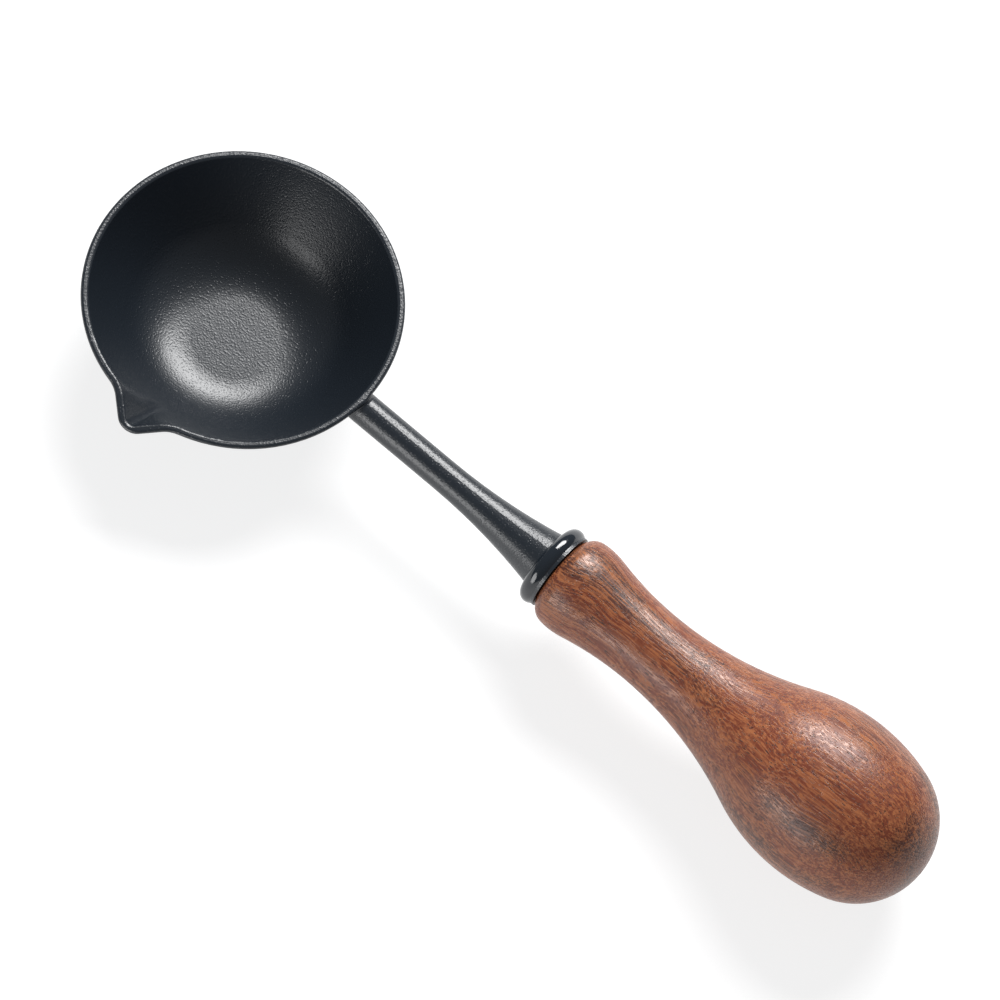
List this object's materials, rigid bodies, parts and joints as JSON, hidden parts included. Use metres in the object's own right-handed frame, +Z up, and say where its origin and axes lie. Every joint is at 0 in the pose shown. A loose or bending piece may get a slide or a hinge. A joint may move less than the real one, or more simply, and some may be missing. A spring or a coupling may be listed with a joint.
{
  "type": "pouring ladle",
  "caption": "Small pouring ladle: black coated cast bowl with a side spout, a round stem with a beaded collar, and a turned wooden handle.",
  "frame": {"origin": "middle of the bowl's flat base, on the plane the ladle rests on", "axes": "+X along the stem and the handle, away from the bowl; -Y the way the spout points, give or take 2 degrees; +Z up, out of the open bowl"},
  "size_m": [0.1049, 0.0346, 0.0176],
  "materials": {
    "coated_casting": "fine-grained black non-stick coating over the whole casting, slightly glossier on the collar's bead",
    "turned_hardwood": "turned red-brown hardwood, sanded and waxed to a soft sheen, grain along the handle"
  },
  "bodies": {
    "root": {"ladle_head": "coated_casting", "handle": "turned_hardwood"}
  },
  "joints": []
}
